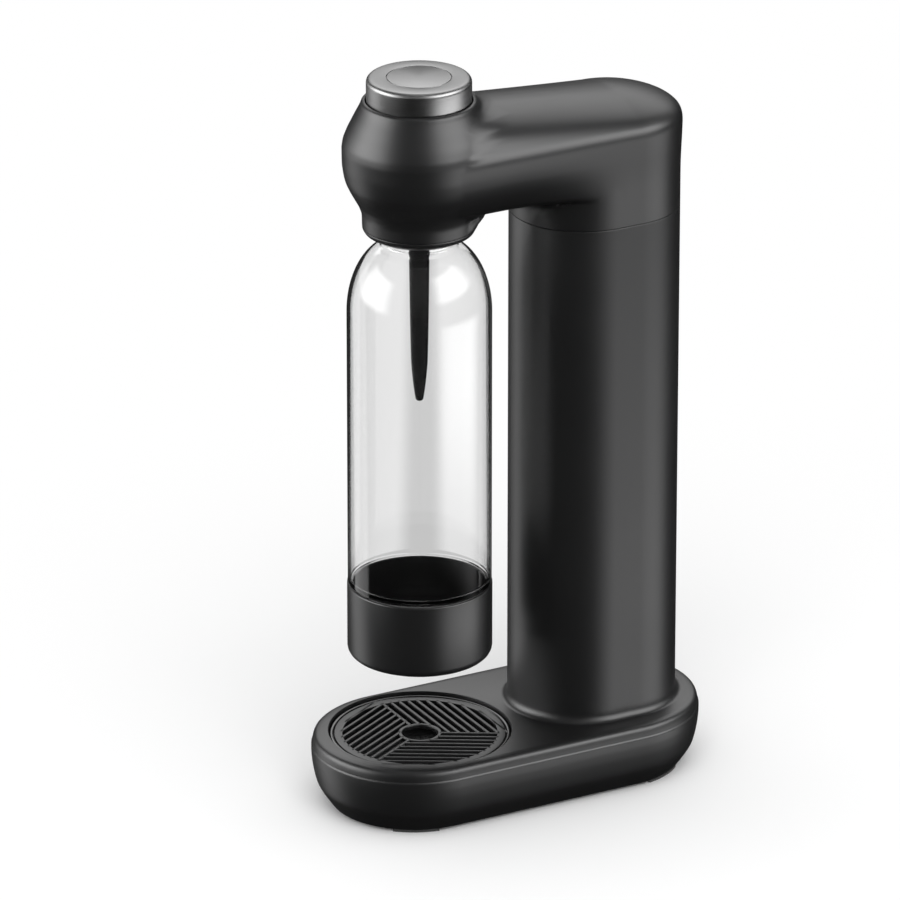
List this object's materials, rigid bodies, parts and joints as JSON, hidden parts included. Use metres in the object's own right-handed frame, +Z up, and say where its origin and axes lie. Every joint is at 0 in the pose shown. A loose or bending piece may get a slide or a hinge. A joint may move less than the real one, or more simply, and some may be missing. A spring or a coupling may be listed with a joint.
{
  "type": "sparkling water maker",
  "caption": "Free-standing sparkling water maker: hollow column with a gas cylinder, button head with lever and nozzle, hanging clear bottle, drip tray with grille.",
  "frame": {"origin": "on the table under the middle of the base", "axes": "+Z up, +X across the base, +Y from the bottle towards the gas column"},
  "size_m": [0.115, 0.2326, 0.4293],
  "materials": {
    "satin_black": "satin",
    "gloss_black": "gloss",
    "clear_plastic": "clear",
    "grey_plastic": "moulded",
    "brushed_steel": "brushed",
    "plated_steel": "zinc plated",
    "brass": "turned",
    "aluminium": "satin",
    "rubber": "matt"
  },
  "bodies": {
    "machine": {"base_shell": "satin_black", "base_plate": "brushed_steel", "feet": "rubber", "base_screws": "plated_steel", "column_shell": "satin_black", "column_screws": "plated_steel", "guide_rings": "grey_plastic", "chassis": "plated_steel", "chassis_screws": "plated_steel", "head_housing": "satin_black", "head_screws": "plated_steel", "collar_ring": "satin_black", "bottle_socket": "grey_plastic", "socket_screws": "plated_steel", "neck_seal": "rubber", "nozzle": "gloss_black", "nozzle_seal": "rubber", "valve_block": "brass", "block_screws": "plated_steel", "adapter_seal": "rubber", "relief_valve": "brass", "vent_valve": "brass", "gas_tube": "plated_steel", "tube_nuts": "brass", "button_guide": "grey_plastic", "guide_screws": "plated_steel", "pivot_pin": "brushed_steel", "pivot_spacers": "grey_plastic"},
    "button": {"button_cap": "brushed_steel", "button_inlay": "brushed_steel", "button_plunger": "grey_plastic", "button_spring": "plated_steel"},
    "lever": {"lever": "brushed_steel", "adjust_screw": "plated_steel"},
    "push_pin": {"push_pin": "brushed_steel"},
    "gas_cylinder": {"gas_cylinder": "aluminium", "cylinder_valve": "brass"},
    "valve_stem": {"valve_stem": "brushed_steel"},
    "bottle": {"bottle_body": "clear_plastic", "bottle_boot": "satin_black"},
    "tray": {"drip_tray": "gloss_black"},
    "grille": {"drip_grille": "satin_black"}
  },
  "joints": [
    {"name": "button_press", "type": "slide", "parent": "machine", "child": "button", "axis": [0, 0, -1], "range_m": [0, 0.008], "stiffness_N_per_m": 600, "springref_m": -0.01, "deforming": ["button_spring"]},
    {"name": "lever_hinge", "type": "hinge", "parent": "machine", "child": "lever", "pos_m": [0, 0.0788, 0.383], "axis": [1, 0, 0], "range_deg": [0, 3.5]},
    {"name": "pin_slide", "type": "slide", "parent": "machine", "child": "push_pin", "axis": [0, 0, -1], "range_m": [0, 0.00145]},
    {"name": "stem_slide", "type": "slide", "parent": "gas_cylinder", "child": "valve_stem", "axis": [0, 0, -1], "range_m": [0, 0.00145]},
    {"name": "cylinder_unscrew", "type": "slide", "parent": "machine", "child": "gas_cylinder", "axis": [0, 0, -1], "range_m": [0, 0.009]},
    {"name": "bottle_lower", "type": "slide", "parent": "machine", "child": "bottle", "axis": [0, 0, -1], "range_m": [0, 0.022]},
    {"name": "tray_lift", "type": "slide", "parent": "machine", "child": "tray", "axis": [0, 0, 1], "range_m": [0, 0.018]},
    {"name": "grille_lift", "type": "slide", "parent": "tray", "child": "grille", "axis": [0, 0, 1], "range_m": [0, 0.008]}
  ],
  "couplings": [
    {"joint": "lever_hinge", "follows": "button_press", "rad_per_m": 7.479},
    {"joint": "pin_slide", "follows": "button_press", "ratio": 0.1795},
    {"joint": "stem_slide", "follows": "button_press", "ratio": 0.1795}
  ]
}
